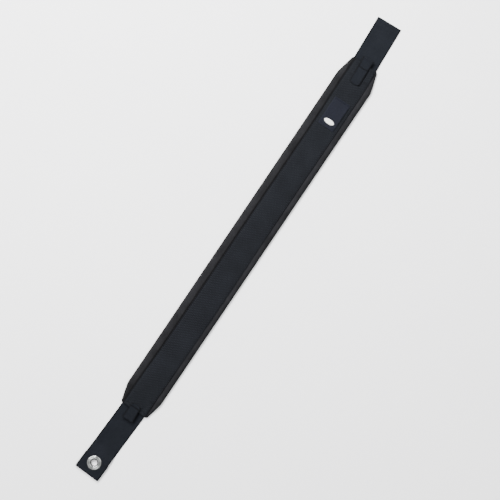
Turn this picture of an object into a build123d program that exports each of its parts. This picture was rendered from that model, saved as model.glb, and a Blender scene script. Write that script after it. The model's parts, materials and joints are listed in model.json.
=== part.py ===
from build123d import *
import os
from math import cos, radians, sin

os.makedirs("parts", exist_ok=True)

# A padded instrument strap laid flat, face up. X runs along the pad: +X is the plain end
# and -X the eyelet end. Z is up, out of the face. The origin is on the surface that the
# strap lies on, below the middle of its outline. Millimetres and degrees.

# ---- Pad ---------------------------------------------------------------------------------
pad_length = 614.0
pad_width = 58.0
lining_thickness = 0.8
foam_thickness = 4.4
foam_end_thickness = 3.0  # the foam is squeezed where the ends are sewn through
end_slope_length = 30.0  # over this length the foam thins to its end
cover_thickness = 0.8
cover_edge_radius = 2.0
corner_radius = 3.0
shoulder_radius = 40.0
plain_shoulder_length = 32.0
plain_end_left = 23.0  # half widths of the cut end, left and right of the pad's middle line
plain_end_right = 19.8
eyelet_shoulder_length = 28.0
eyelet_end_left = 21.5
eyelet_end_right = 23.2

# ---- Webbing panel on the pad's face ---------------------------------------------------------
webbing_width = 38.0
panel_thickness = 1.2
panel_shift = -0.8  # the panel lies a little to the right of the pad's middle line
panel_end_inset = 0.6

# ---- Webbing tails ---------------------------------------------------------------------------
webbing_thickness = 1.6
tail_root_depth = 30.0  # length sewn inside the pad
fold_gap = 2.4  # from the pad's cut end to the line where a tail folds
fold_clearance = 0.3
pocket_clearance = 0.1
settle_length = 14.0  # over this length a tail comes down from the pad to the surface
plain_tail_length = 70.0  # beyond the pad's end
plain_tail_lean = 2.8
plain_tail_shift = 1.9
eyelet_tail_length = 116.0
eyelet_tail_lean = 2.5
eyelet_tail_shift = 0.2
hem_length = 25.5
hem_gap = 0.1
hem_rise_length = 16.0

# ---- Two-part eyelet -------------------------------------------------------------------------
eyelet_inset = 18.5  # from the tail's end to the middle of the hole
hole_radius = 4.6
barrel_wall = 0.5
barrel_clearance = 0.1
flange_radius = 11.3
flange_height = 1.2
crown_roll_width = 2.0  # the raised roll round the mouth of the hole
groove_height = 0.7
brim_height = 0.95
flange_rim = 0.25
roll_radius = 6.4
roll_height = 0.55
washer_radius = 10.6
washer_thickness = 0.5

# ---- Folded tabs over the joints ---------------------------------------------------------------
tab_width = 16.5
tab_thickness = 2.2
tab_nose_radius = 1.6  # the doubled strip bulges where it turns back
tab_reach = 16.5  # beyond the pad's cut end
tab_fold_shift = 2.7  # the tab folds this much further out than the tail below it
plain_tab_root_length = 34.0
plain_tab_skew = 0.0
plain_tab_shift = -0.8
eyelet_tab_root_length = 9.0
eyelet_tab_skew = 7.0
eyelet_tab_shift = 0.6
tab_corner_radius = 4.0

# ---- Label -------------------------------------------------------------------------------------
label_length = 46.0
label_width = 26.0
label_thickness = 0.8
label_setback = 87.0  # from the pad's plain end to the label's middle
label_shift = -1.5
mark_length = 9.0
mark_width = 17.0
mark_thickness = 0.3
mark_margin = 5.0

# ---- Sewing thread -------------------------------------------------------------------------------
thread_width = 0.7
thread_height = 0.35
panel_seam_inset = 1.4
seam_end_margin = 4.0
edge_seam_height = 1.0
anchor_rows = (5.0, 24.0)  # distances of the rows from the pad's cut end
anchor_end_margin = 3.0
tab_tack_setback = {"plain": 8.0, "eyelet": 4.5}
tab_tack_width = 1.6
side_margin = 1.5
hem_row_margin = 1.6
label_row_margin = 1.8

# ---- Places worked out from the sizes ------------------------------------------------------------
plain_span = plain_tail_length * cos(radians(plain_tail_lean))
plain_span += webbing_width / 2 * sin(radians(plain_tail_lean))
eyelet_span = eyelet_tail_length * cos(radians(eyelet_tail_lean))
eyelet_span += webbing_width / 2 * sin(radians(eyelet_tail_lean))
overall_length = pad_length + plain_span + eyelet_span
plain_end_x = overall_length / 2 - plain_span
eyelet_end_x = plain_end_x - pad_length

foam_top = lining_thickness + foam_thickness
foam_end_top = lining_thickness + foam_end_thickness
cover_top = foam_top + cover_thickness
panel_top = cover_top + panel_thickness
panel_end_top = foam_end_top + cover_thickness + panel_thickness
fold_z = lining_thickness + webbing_thickness / 2
half_webbing = webbing_thickness / 2
tab_middle_z = panel_end_top + tab_thickness / 2
beyond = pad_length  # longer than anything that stands out past the pad

plain_frame = Location((plain_end_x + fold_gap, plain_tail_shift, 0), (0, 0, plain_tail_lean))
eyelet_frame = Location((eyelet_end_x - fold_gap, eyelet_tail_shift, 0), (0, 0, 180 - eyelet_tail_lean))
plain_tab_frame = plain_frame * Location((tab_fold_shift, plain_tab_shift, 0))
eyelet_tab_frame = eyelet_frame * Location((tab_fold_shift, eyelet_tab_shift, 0))


def height_line(full, end):
    """A layer's height along the pad, low at both ends and carried on level past them."""
    return [
        (eyelet_end_x - beyond, end),
        (eyelet_end_x, end),
        (eyelet_end_x + end_slope_length, full),
        (plain_end_x - end_slope_length, full),
        (plain_end_x, end),
        (plain_end_x + beyond, end),
    ]


def face_line(lift):
    """The panel's top, or a line that many millimetres above it."""
    return height_line(panel_top + lift, panel_end_top + lift)


def band(lower, upper):
    """Everything between two height lines, wider than the pad."""
    outline = make_face(Polyline(*lower, *reversed(upper), close=True))
    return extrude(Plane.XZ * outline, amount=pad_width, both=True)


def upright(sketch):
    """A plan outline, carried up through every layer."""
    return extrude(sketch, amount=4 * panel_top)


def plan_box(x_low, x_high, y_low, y_high):
    middle = ((x_low + x_high) / 2, (y_low + y_high) / 2)
    return upright(Pos(*middle) * Rectangle(x_high - x_low, y_high - y_low))


def pad_outline():
    half = pad_width / 2
    plain_shoulder_x = plain_end_x - plain_shoulder_length
    eyelet_shoulder_x = eyelet_end_x + eyelet_shoulder_length
    corners = [
        (plain_end_x, plain_end_left, corner_radius),
        (plain_shoulder_x, half, shoulder_radius),
        (eyelet_shoulder_x, half, shoulder_radius),
        (eyelet_end_x, eyelet_end_left, corner_radius),
        (eyelet_end_x, -eyelet_end_right, corner_radius),
        (eyelet_shoulder_x, -half, shoulder_radius),
        (plain_shoulder_x, -half, shoulder_radius),
        (plain_end_x, -plain_end_right, corner_radius),
    ]
    points = [(x, y) for x, y, radius in corners]
    radii = [radius for x, y, radius in corners]
    return make_face(FilletPolyline(*points, radius=radii, close=True))


def webbing(path, width, thickness=webbing_thickness):
    """Flat webbing along a middle line of (x, z) points, in a tail's own frame."""
    upper = [(x, z + thickness / 2) for x, z in path]
    lower = [(x, z - thickness / 2) for x, z in reversed(path)]
    outline = make_face(Polyline(*upper, *lower, close=True))
    return extrude(Plane.XZ * outline, amount=width / 2, both=True)


def cross_bar(x, z, radius, width):
    """A round bar across the strap."""
    return Pos(x, 0, z) * Rot(90, 0, 0) * Cylinder(radius, width)


# ---- Pad body --------------------------------------------------------------------------------------
def tail_root():
    inner = -(fold_gap + tail_root_depth)
    outer = -(half_webbing + fold_clearance)
    return webbing([(inner, fold_z), (outer, fold_z)], webbing_width)


def root_pocket():
    """The room that a tail's sewn-in end takes in the foam, open through the pad's end."""
    length = fold_gap + tail_root_depth + pocket_clearance
    height = webbing_thickness + pocket_clearance
    width = webbing_width + 2 * pocket_clearance
    middle = (-length / 2, 0, lining_thickness + height / 2)
    return Pos(*middle) * Box(length, width, height)


def back_lining():
    return extrude(pad_outline(), amount=lining_thickness)


def pad_filling():
    """The foam's full block, before the tails' pockets are cut."""
    inside = upright(offset(pad_outline(), amount=-cover_thickness))
    floor = height_line(lining_thickness, lining_thickness)
    return inside & band(floor, height_line(foam_top, foam_end_top))


def foam_core():
    return pad_filling() - plain_frame * root_pocket() - eyelet_frame * root_pocket()


def face_cover():
    floor = height_line(lining_thickness, lining_thickness)
    ceiling = height_line(cover_top, foam_end_top + cover_thickness)
    block = upright(pad_outline()) & band(floor, ceiling)
    long_edges = block.edges().filter_by(Axis.X).group_by(Axis.Z)[-1]
    block = fillet(long_edges, cover_edge_radius)
    return block - pad_filling() - plain_frame * root_pocket() - eyelet_frame * root_pocket()


def centre_panel():
    half = webbing_width / 2
    ends = (eyelet_end_x + panel_end_inset, plain_end_x - panel_end_inset)
    strip = plan_box(*ends, panel_shift - half, panel_shift + half)
    return strip & band(height_line(cover_top, foam_end_top + cover_thickness), face_line(0))


def panel_seam(side):
    """The top thread of the seam along one edge of the panel."""
    middle = panel_shift + side * (webbing_width / 2 - panel_seam_inset)
    ends = (eyelet_end_x + seam_end_margin, plain_end_x - seam_end_margin)
    run = plan_box(*ends, middle - thread_width / 2, middle + thread_width / 2)
    return run & band(face_line(0), face_line(thread_height))


def edge_seam():
    """The thread that closes the cover to the lining along both long sides."""
    outline = pad_outline()
    ring = offset(outline, amount=thread_height) - outline
    low = lining_thickness - edge_seam_height / 2
    ring = Pos(0, 0, low) * extrude(ring, amount=edge_seam_height)
    keep = plan_box(
        eyelet_end_x + seam_end_margin, plain_end_x - seam_end_margin, -pad_width, pad_width
    )
    return ring & keep


def anchor_thread(end_x, inward):
    """The rows that hold a tail's root, seen on both sides of the tab."""
    lower = webbing_width / 2 - anchor_end_margin
    upper = tab_width / 2 + 2 * side_margin
    thread = band(face_line(0), face_line(thread_height))
    rows = []
    for distance in anchor_rows:
        x = end_x + inward * distance
        for side in (-1, 1):
            low, high = sorted((side * lower, side * upper))
            rows.append(
                plan_box(x - thread_width / 2, x + thread_width / 2, panel_shift + low, panel_shift + high)
                & thread
            )
    return Compound(rows)


# ---- Tails -------------------------------------------------------------------------------------------
def fold_end():
    """The round end on which a tail turns."""
    return cross_bar(0, fold_z, half_webbing, webbing_width)


def plain_tail():
    end = plain_tail_length - fold_gap
    path = [(0, fold_z), (settle_length, half_webbing), (end, half_webbing)]
    return fold_end() + webbing(path, webbing_width)


hem_end = eyelet_tail_length - fold_gap
eyelet_x = hem_end - eyelet_inset
hem_bottom = roll_height + washer_thickness
hem_low_z = hem_bottom + half_webbing
hem_high_z = hem_low_z + webbing_thickness + hem_gap
hem_top = hem_high_z + half_webbing
turn_radius = webbing_thickness + hem_gap / 2


def eyelet_tail():
    level_x = eyelet_x - flange_radius - side_margin
    turn_x = hem_end - turn_radius
    turn_z = (hem_low_z + hem_high_z) / 2
    upper = webbing(
        [
            (0, fold_z),
            (settle_length, half_webbing),
            (level_x - hem_rise_length, half_webbing),
            (level_x, hem_high_z),
            (turn_x, hem_high_z),
        ],
        webbing_width,
    )
    under = webbing([(hem_end - hem_length, hem_low_z), (turn_x, hem_low_z)], webbing_width)
    turn = cross_bar(turn_x, turn_z, turn_radius, webbing_width)
    turn -= cross_bar(turn_x, turn_z, hem_gap / 2, 2 * webbing_width)
    turn &= Pos(turn_x + turn_radius, 0, turn_z) * Box(2 * turn_radius, webbing_width, 4 * turn_radius)
    hole = Pos(eyelet_x, 0, hem_low_z) * Cylinder(hole_radius + barrel_wall + barrel_clearance, 4 * hem_top)
    return fold_end() + upper + under + turn - hole


def hem_thread():
    """The row across the hem, over the cut end folded beneath."""
    x = hem_end - hem_length + hem_row_margin
    half = webbing_width / 2 - side_margin
    clear = flange_radius + thread_width
    sides = []
    for side in (-1, 1):
        low, high = sorted((side * clear, side * half))
        middle = (x, (low + high) / 2, hem_top + thread_height / 2)
        sides.append(Pos(*middle) * Box(thread_width, high - low, thread_height))
    return Compound(sides)


# ---- Eyelet ----------------------------------------------------------------------------------------------
def ring_about_eyelet(profile):
    """A ring turned from a closed outline of (radius, height) points."""
    face = Plane.XZ * make_face(profile)
    return Pos(eyelet_x, 0, 0) * revolve(face, Axis.Z)


def eyelet_barrel():
    outer = hole_radius + barrel_wall
    lip = hole_radius + barrel_wall / 2
    roll_end = hole_radius + crown_roll_width
    inner_roll = ThreePointArc(
        (hole_radius, hem_top + flange_height / 2),
        (hole_radius + crown_roll_width / 2, hem_top + flange_height),
        (roll_end, hem_top + groove_height),
    )
    brim = ThreePointArc(
        (roll_end, hem_top + groove_height),
        ((roll_end + flange_radius) / 2, hem_top + brim_height),
        (flange_radius, hem_top + flange_rim),
    )
    rest = Polyline(
        (flange_radius, hem_top + flange_rim),
        (flange_radius, hem_top),
        (outer, hem_top),
        (outer, roll_height),
        (roll_radius, roll_height),
        (roll_radius, roll_height / 2),
        (roll_radius - roll_height / 2, 0),
        (lip, 0),
        (hole_radius, roll_height / 2),
        (hole_radius, hem_top + flange_height / 2),
    )
    return ring_about_eyelet(inner_roll + brim + rest)


def eyelet_washer():
    inner = hole_radius + barrel_wall + barrel_clearance
    corners = [
        (inner, roll_height),
        (washer_radius, roll_height),
        (washer_radius, hem_bottom),
        (inner, hem_bottom),
    ]
    return ring_about_eyelet(Polyline(*corners, close=True))


# ---- Tabs --------------------------------------------------------------------------------------------------
tab_tip_length = tab_reach - fold_gap - tab_fold_shift


def tab_root(frame, root_length, skew):
    """The part of a tab that is sewn to the panel, round-cornered at its inner end."""
    inner = -(fold_gap + tab_fold_shift + root_length)
    strip = Pos(inner / 2) * Rectangle(-inner, tab_width)
    strip = fillet(strip.vertices().group_by(Axis.X)[0], tab_corner_radius)
    plan = Rot(0, 0, skew) * strip
    outer = -(tab_thickness / 2 + fold_clearance)
    plan -= Pos(outer - inner / 2) * Rectangle(-inner, 2 * webbing_width)
    return upright(frame * plan) & band(face_line(0), face_line(tab_thickness))


def tab_tip(skew):
    """The free, doubled part of a tab, turned back on itself at its nose."""
    long_strip = Pos(tab_tip_length / 2 - tab_nose_radius) * Rectangle(tab_tip_length, tab_width)
    plan = Rot(0, 0, skew) * long_strip
    plan -= Pos(-tab_tip_length / 2) * Rectangle(tab_tip_length, 2 * webbing_width)
    tip = Pos(0, 0, tab_middle_z) * extrude(plan, amount=tab_thickness / 2, both=True)
    tip += cross_bar(0, tab_middle_z, tab_thickness / 2, tab_width * 0.97)
    nose = Rot(0, 0, skew) * cross_bar(tab_tip_length - tab_nose_radius, tab_middle_z, tab_nose_radius, tab_width)
    return tip + nose


def tab_tack(frame, setback, skew):
    """A close-stitched bar across the tab, through all layers."""
    x = -(fold_gap + tab_fold_shift + setback)
    bar = Rot(0, 0, skew) * Pos(x) * Rectangle(tab_tack_width, tab_width - 2 * side_margin)
    return upright(frame * bar) & band(face_line(tab_thickness), face_line(tab_thickness + thread_height))


# ---- Label -------------------------------------------------------------------------------------------------
label_x = plain_end_x - label_setback
label_y = label_shift


def on_face(x, y, length, width, low, height):
    return Pos(x, y, low + height / 2) * Box(length, width, height)


def label():
    return on_face(label_x, label_y, label_length, label_width, panel_top, label_thickness)


def label_mark():
    """A plain white oval."""
    x = label_x - label_length / 2 + mark_margin + mark_length / 2
    oval = Pos(x, label_y, panel_top + label_thickness) * Ellipse(mark_length / 2, mark_width / 2)
    return extrude(oval, amount=mark_thickness)


def label_thread():
    """One row across each end of the label."""
    reach = label_length / 2 - label_row_margin
    width = label_width - 2 * label_row_margin
    low = panel_top + label_thickness
    rows = [
        on_face(label_x + side * reach, label_y, thread_width, width, low, thread_height)
        for side in (-1, 1)
    ]
    return Compound(rows)


pieces = {
    "back_lining": back_lining(),
    "foam_core": foam_core(),
    "face_cover": face_cover(),
    "centre_panel": centre_panel(),
    "left_panel_seam": panel_seam(1),
    "right_panel_seam": panel_seam(-1),
    "edge_seam": edge_seam(),
    "plain_tail_root": plain_frame * tail_root(),
    "plain_tail": plain_frame * plain_tail(),
    "plain_anchor_thread": anchor_thread(plain_end_x, -1),
    "plain_tab_root": tab_root(plain_tab_frame, plain_tab_root_length, plain_tab_skew),
    "plain_tab_tip": plain_tab_frame * tab_tip(plain_tab_skew),
    "plain_tab_tack": tab_tack(plain_tab_frame, tab_tack_setback["plain"], plain_tab_skew),
    "eyelet_tail_root": eyelet_frame * tail_root(),
    "eyelet_tail": eyelet_frame * eyelet_tail(),
    "eyelet_anchor_thread": anchor_thread(eyelet_end_x, 1),
    "eyelet_tab_root": tab_root(eyelet_tab_frame, eyelet_tab_root_length, eyelet_tab_skew),
    "eyelet_tab_tip": eyelet_tab_frame * tab_tip(eyelet_tab_skew),
    "eyelet_tab_tack": tab_tack(eyelet_tab_frame, tab_tack_setback["eyelet"], eyelet_tab_skew),
    "hem_thread": eyelet_frame * hem_thread(),
    "eyelet_barrel": eyelet_frame * eyelet_barrel(),
    "eyelet_washer": eyelet_frame * eyelet_washer(),
    "label": label(),
    "label_mark": label_mark(),
    "label_thread": label_thread(),
}

for name, shape in pieces.items():
    export_step(shape, f"parts/{name}.step")

print("overall length", round(overall_length, 2))
for name, frame, height in (
    ("plain tail fold", plain_frame, fold_z),
    ("plain tab fold", plain_tab_frame, tab_middle_z),
    ("eyelet tail fold", eyelet_frame, fold_z),
    ("eyelet tab fold", eyelet_tab_frame, tab_middle_z),
    ("eyelet hole", eyelet_frame * Location((eyelet_x, 0, 0)), hem_low_z),
):
    place = frame.position
    print(name, round(place.X, 4), round(place.Y, 4), round(height, 4))
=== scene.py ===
import bmesh
import bpy
import json
from math import ceil, cos, exp, hypot, pi, radians, sin, sqrt
from mathutils import Matrix, Vector, noise


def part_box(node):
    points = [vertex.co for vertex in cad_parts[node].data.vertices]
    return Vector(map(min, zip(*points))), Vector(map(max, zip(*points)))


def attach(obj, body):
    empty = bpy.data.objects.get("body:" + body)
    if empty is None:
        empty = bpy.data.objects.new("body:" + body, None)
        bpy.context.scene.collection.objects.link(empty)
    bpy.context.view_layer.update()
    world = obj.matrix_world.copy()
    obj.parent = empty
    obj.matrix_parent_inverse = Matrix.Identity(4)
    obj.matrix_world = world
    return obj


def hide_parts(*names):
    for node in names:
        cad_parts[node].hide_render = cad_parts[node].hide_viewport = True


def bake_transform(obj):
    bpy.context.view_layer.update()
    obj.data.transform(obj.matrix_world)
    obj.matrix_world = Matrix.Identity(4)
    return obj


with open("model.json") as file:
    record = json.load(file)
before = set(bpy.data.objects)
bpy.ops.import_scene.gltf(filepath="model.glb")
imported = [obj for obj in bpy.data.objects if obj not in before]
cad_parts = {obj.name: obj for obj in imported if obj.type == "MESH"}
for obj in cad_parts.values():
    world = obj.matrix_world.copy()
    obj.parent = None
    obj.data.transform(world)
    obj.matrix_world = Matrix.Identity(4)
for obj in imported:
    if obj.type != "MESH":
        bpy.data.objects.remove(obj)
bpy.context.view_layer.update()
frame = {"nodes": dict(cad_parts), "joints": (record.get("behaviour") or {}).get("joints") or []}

# A padded instrument strap lies flat, face up, on a pale floor. X runs along the pad to the
# plain end, Z is up. Shapes are worked out in millimetres and made in metres.

MM = 0.001
scene = bpy.context.scene
joints = {joint["name"]: joint for joint in frame["joints"]}


def corners(node):
    """A node's lowest and highest corners, in millimetres."""
    low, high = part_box(node)
    return low / MM, high / MM


# ---- Sizes read from the frame -------------------------------------------------------------------
lining_low, lining_high = corners("back_lining")
_, cover_high = corners("face_cover")
panel_low, panel_high = corners("centre_panel")
label_low, label_high = corners("label")
mark_low, mark_high = corners("label_mark")

EYELET_END = lining_low.x
PLAIN_END = lining_high.x
LINING_TOP = lining_high.z
COVER_TOP = cover_high.z
PANEL_THICKNESS = panel_high.z - COVER_TOP
HALF_PAD = lining_high.y
PANEL_MIDDLE = (panel_low.y + panel_high.y) / 2
HALF_WEBBING = (panel_high.y - panel_low.y) / 2
WEBBING = 1.6  # thickness
SEAM_INSET = 1.4  # from the panel's edge to its seam
CLOTH_SHIFT = 60.0  # added to places across a cloth, which keeps them above 0
BACK_SHIFT = 80.0  # the same, for the back of the cover

# The pad's ends. Where a size differs between its sides, the left is 1 and the right is -1.
END_DROP = 1.4  # how much thinner the pad is at its sewn ends
END_SLOPE = 30.0
END_CORNER = 1.3
PLAIN_TAPER, EYELET_TAPER = 32.0, 28.0  # how far from its ends the pad starts to narrow
PLAIN_CUT = {1: 23.2, -1: 20.3}  # half width at the cut end
EYELET_CUT = {1: 22.4, -1: 23.4}


# ---- Soft steps and natural unevenness -----------------------------------------------------------
def ease(value, low, high):
    """0 before low, 1 after high, smooth between."""
    share = min(1.0, max(0.0, (value - low) / (high - low)))
    return share * share * (3 - 2 * share)


def ramp(distance, soft):
    """distance when positive and 0 when negative, rounded over the length soft."""
    if distance <= -soft:
        return 0.0
    if distance >= soft:
        return distance
    return (distance + soft) ** 2 / (4 * soft)


def uneven(x, y, length, seed):
    """A smooth wander between about -1 and 1 that changes over the given length."""
    return noise.noise(Vector((x / length, y / length, seed * 7.31)))


def round_off(inside, radius):
    """How far a rounded corner draws an edge in, at a place inside millimetres from the end."""
    if inside >= radius:
        return 0.0
    return radius - sqrt(max(0.0, radius**2 - (radius - inside) ** 2))


# ---- The pad's own shape -------------------------------------------------------------------------
def from_end(x):
    """How far x is from the nearer of the pad's cut ends."""
    return min(PLAIN_END - x, x - EYELET_END)


def half_width(x, side):
    """The pad's half width at x, on its left (1) or right (-1) side."""
    half = HALF_PAD
    half -= ramp(x - (PLAIN_END - PLAIN_TAPER), 4.0) * (HALF_PAD - PLAIN_CUT[side]) / PLAIN_TAPER
    half -= ramp(EYELET_END + EYELET_TAPER - x, 4.0) * (HALF_PAD - EYELET_CUT[side]) / EYELET_TAPER
    return half - round_off(from_end(x), END_CORNER)


def end_share(x):
    """1 over the pad's full thickness, 0 at its cut ends."""
    return ease(from_end(x), 0.0, END_SLOPE)


def cover_height(x):
    return COVER_TOP - END_DROP * (1 - end_share(x))


def panel_edge(x, side):
    """Where the panel's left (1) or right (-1) woven edge lies. It is sewn on a little
    unevenly, and drifts to the right between the middle and the eyelet end."""
    drift = exp(-(((x + 89.0) / 110.0) ** 2))
    if side > 0:
        return PANEL_MIDDLE + HALF_WEBBING - 0.5 * drift + 1.5 * (1 - ease(from_end(x), 20.0, 110.0))
    swell = (1.0 + 1.2 * drift) * (1 - ease(x, PLAIN_END - 45.0, PLAIN_END - 5.0))
    return PANEL_MIDDLE - HALF_WEBBING - swell


def pucker(x, y):
    """How far the eyelet end's face is drawn down beside its tab."""
    along = exp(-(((x - EYELET_END - 7.0) / 6.0) ** 2))
    return 0.9 * along * exp(-(((abs(y - 0.4) - 12.5) / 3.0) ** 2))


def seam_dip(x, off, side):
    """How far the sewing draws the face down, off millimetres from a seam."""
    depth, reach = (0.75, 2.2) if side > 0 else (0.5, 1.5)
    depth += 0.22 * uneven(x, side, 9.0, 3) + 0.1 * uneven(x, side, 3.1, 5)
    return depth * exp(-((off / reach) ** 2))


def panel_height(x, y):
    """The top of the panel."""
    across = (y - PANEL_MIDDLE) / HALF_WEBBING
    top = cover_height(x) + PANEL_THICKNESS
    top += 0.28 * (1 - across**2) * end_share(x)
    for side in (-1, 1):
        seam = panel_edge(x, side) - side * SEAM_INSET
        top -= seam_dip(x, y - seam, side)
    top += 0.1 * uneven(x, y, 26.0, 1)
    return top - pucker(x, y)


def stations(start, end, step):
    count = max(2, ceil(abs(end - start) / step))
    return [start + (end - start) * i / count for i in range(count + 1)]


# ---- Mesh making ---------------------------------------------------------------------------------
def piece_from(name, mesh):
    piece = bpy.data.objects.new(name, mesh)
    scene.collection.objects.link(piece)
    return piece


def smooth(mesh, sharp=50):
    mesh.shade_smooth()
    mesh.set_sharp_from_angle(angle=radians(sharp))


def close_skin(mesh, sharp=50):
    """Turns a closed mesh's faces outwards and shades it smooth."""
    work = bmesh.new()
    work.from_mesh(mesh)
    bmesh.ops.recalc_face_normals(work, faces=work.faces)
    work.to_mesh(mesh)
    work.free()
    smooth(mesh, sharp)


def loft(name, rings, cloth, edge_and_shade=None):
    """A closed skin over rings of millimetre points. cloth gives each point's place on the
    flat cloth, and the last argument, from 0 to 1, turns a point to its edge colour: painted shade along
    webbing edges, seams and the cover's edges, and the label's own edge colour."""
    mesh = bpy.data.meshes.new(name)
    size = len(rings[0])
    points = [Vector(p) * MM for ring in rings for p in ring]
    faces = [tuple(range(size - 1, -1, -1))]
    for here in range(0, (len(rings) - 1) * size, size):
        for k in range(size):
            after = (k + 1) % size
            faces.append((here + k, here + after, here + size + after, here + size + k))
    last = (len(rings) - 1) * size
    faces.append(tuple(range(last, last + size)))
    mesh.from_pydata(points, [], faces)
    flat = [place for ring in cloth for place in ring]
    layer = mesh.uv_layers.new(name="cloth")
    for loop in mesh.loops:
        layer.data[loop.index].uv = flat[loop.vertex_index]
    edge = mesh.attributes.new("edge_and_shade", "FLOAT", "POINT")
    values = [value for ring in edge_and_shade for value in ring] if edge_and_shade else [0.0] * len(points)
    edge.data.foreach_set("value", values)
    close_skin(mesh)
    return piece_from(name, mesh)


def strip_ring(right, left, thickness, columns, lip=0.12):
    """Points round flat webbing, as (across, out): along the face, round one woven edge,
    along the back and round the other. right and left are where its edges lie across, and
    lip is how far the face stands up beside them."""
    bend = thickness * 0.62
    low, high = right + bend, left - bend
    ring = []
    for k in range(columns + 1):
        y = low + (high - low) * k / columns
        near = max(0.0, 1 - min(y - right, left - y) / 2.4)
        ring.append((y, thickness / 2 + lip * near))
    for turn in (50, 0, -50):
        ring.append((high + bend * cos(radians(turn)), thickness / 2 * sin(radians(turn))))
    for k in range(columns + 1):
        y = high - (high - low) * k / columns
        ring.append((y, -thickness / 2))
    for turn in (-50, 0, 50):
        ring.append((low - bend * cos(radians(turn)), thickness / 2 * sin(radians(turn))))
    return ring


def ribbon(name, path, edges, thickness, place, columns=26, seed=1, wander=0.12, lip=0.12):
    """Webbing swept along a path of (x, z) points. edges(x) gives where its two woven edges
    lie, and place turns (x, y, z) into the strap's own frame. Gives the piece and its length."""
    rings, cloth, edge_and_shade = [], [], []
    run = 0.0
    for i, (x, z) in enumerate(path):
        before, after = path[max(0, i - 1)], path[min(len(path) - 1, i + 1)]
        along = Vector((after[0] - before[0], after[1] - before[1])).normalized()
        out = Vector((-along.y, along.x))
        if i:
            run += hypot(x - path[i - 1][0], z - path[i - 1][1])
        low, high = edges(x)
        sway = wander * uneven(run, 0, 22.0, seed)
        ring, places, edge_and_shade_values = [], [], []
        for y, off in strip_ring(low, high, thickness, columns, lip):
            reach = ease(abs(y), 0.6 * abs(high), abs(high))
            y_here = y + sway + wander * 0.6 * reach * uneven(run, y, 5.0, seed + 1)
            lift = out * off
            ring.append(place(x + lift.x, y_here, z + lift.y))
            places.append((run, y + CLOTH_SHIFT))
            # Darker towards the woven edges: painted shade where the webbing's edges roll away.
            edge_and_shade_values.append(1 - ease(min(y - low, high - y), 0.3, 2.2))
        rings.append(ring)
        cloth.append(places)
        edge_and_shade.append(edge_and_shade_values)
    return loft(name, rings, cloth, edge_and_shade), run


# ---- The two ends' own directions ----------------------------------------------------------------
class Fold:
    """A fold's place and the directions outwards and across, from its joint."""

    def __init__(self, joint, skew=0.0):
        axis = Vector(joints[joint]["axis"])
        self.middle = Vector(joints[joint]["pos_m"]) / MM
        outward = Vector((-axis.y, axis.x, 0))
        self.outward = Matrix.Rotation(radians(skew), 3, "Z") @ outward
        self.across = Matrix.Rotation(radians(90), 3, "Z") @ self.outward

    def place(self, x, y, z):
        spot = self.middle + self.outward * x + self.across * y
        return Vector((spot.x, spot.y, z))

    def metres(self, x):
        spot = self.place(x, 0, self.middle.z)
        return tuple(spot * MM)


plain_fold = Fold("plain_tail_fold")
eyelet_fold = Fold("eyelet_tail_fold")
plain_tab_fold = Fold("plain_tab_fold")
eyelet_tab_fold = Fold("eyelet_tab_fold", skew=3.5)


# ---- Shader writing ------------------------------------------------------------------------------
class Amount:
    """A number that changes over a surface, written in sums."""

    def __init__(self, finish, socket):
        self.finish = finish
        self.socket = socket

    def math(self, operation, *values):
        node = self.finish.node("ShaderNodeMath", {"operation": operation}, *values)
        return Amount(self.finish, node.outputs[0])

    def __add__(self, other):
        return self.math("ADD", self, other)

    def __radd__(self, other):
        return self.math("ADD", other, self)

    def __sub__(self, other):
        return self.math("SUBTRACT", self, other)

    def __rsub__(self, other):
        return self.math("SUBTRACT", other, self)

    def __mul__(self, other):
        return self.math("MULTIPLY", self, other)

    def __rmul__(self, other):
        return self.math("MULTIPLY", other, self)

    def __truediv__(self, other):
        return self.math("DIVIDE", self, other)

    def __pow__(self, other):
        return self.math("POWER", self, other)

    def whole(self):
        return self.math("FLOOR", self)

    def part(self):
        return self.math("FRACT", self)

    def wave(self):
        """A full wave for every whole number."""
        return self.math("SINE", self * (2 * pi))

    def hump(self):
        """0 at whole numbers and 1 halfway between them."""
        return self.math("SINE", self.part() * pi)

    def within(self):
        return self.math("MINIMUM", self.math("MAXIMUM", self, 0.0), 1.0)


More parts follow.
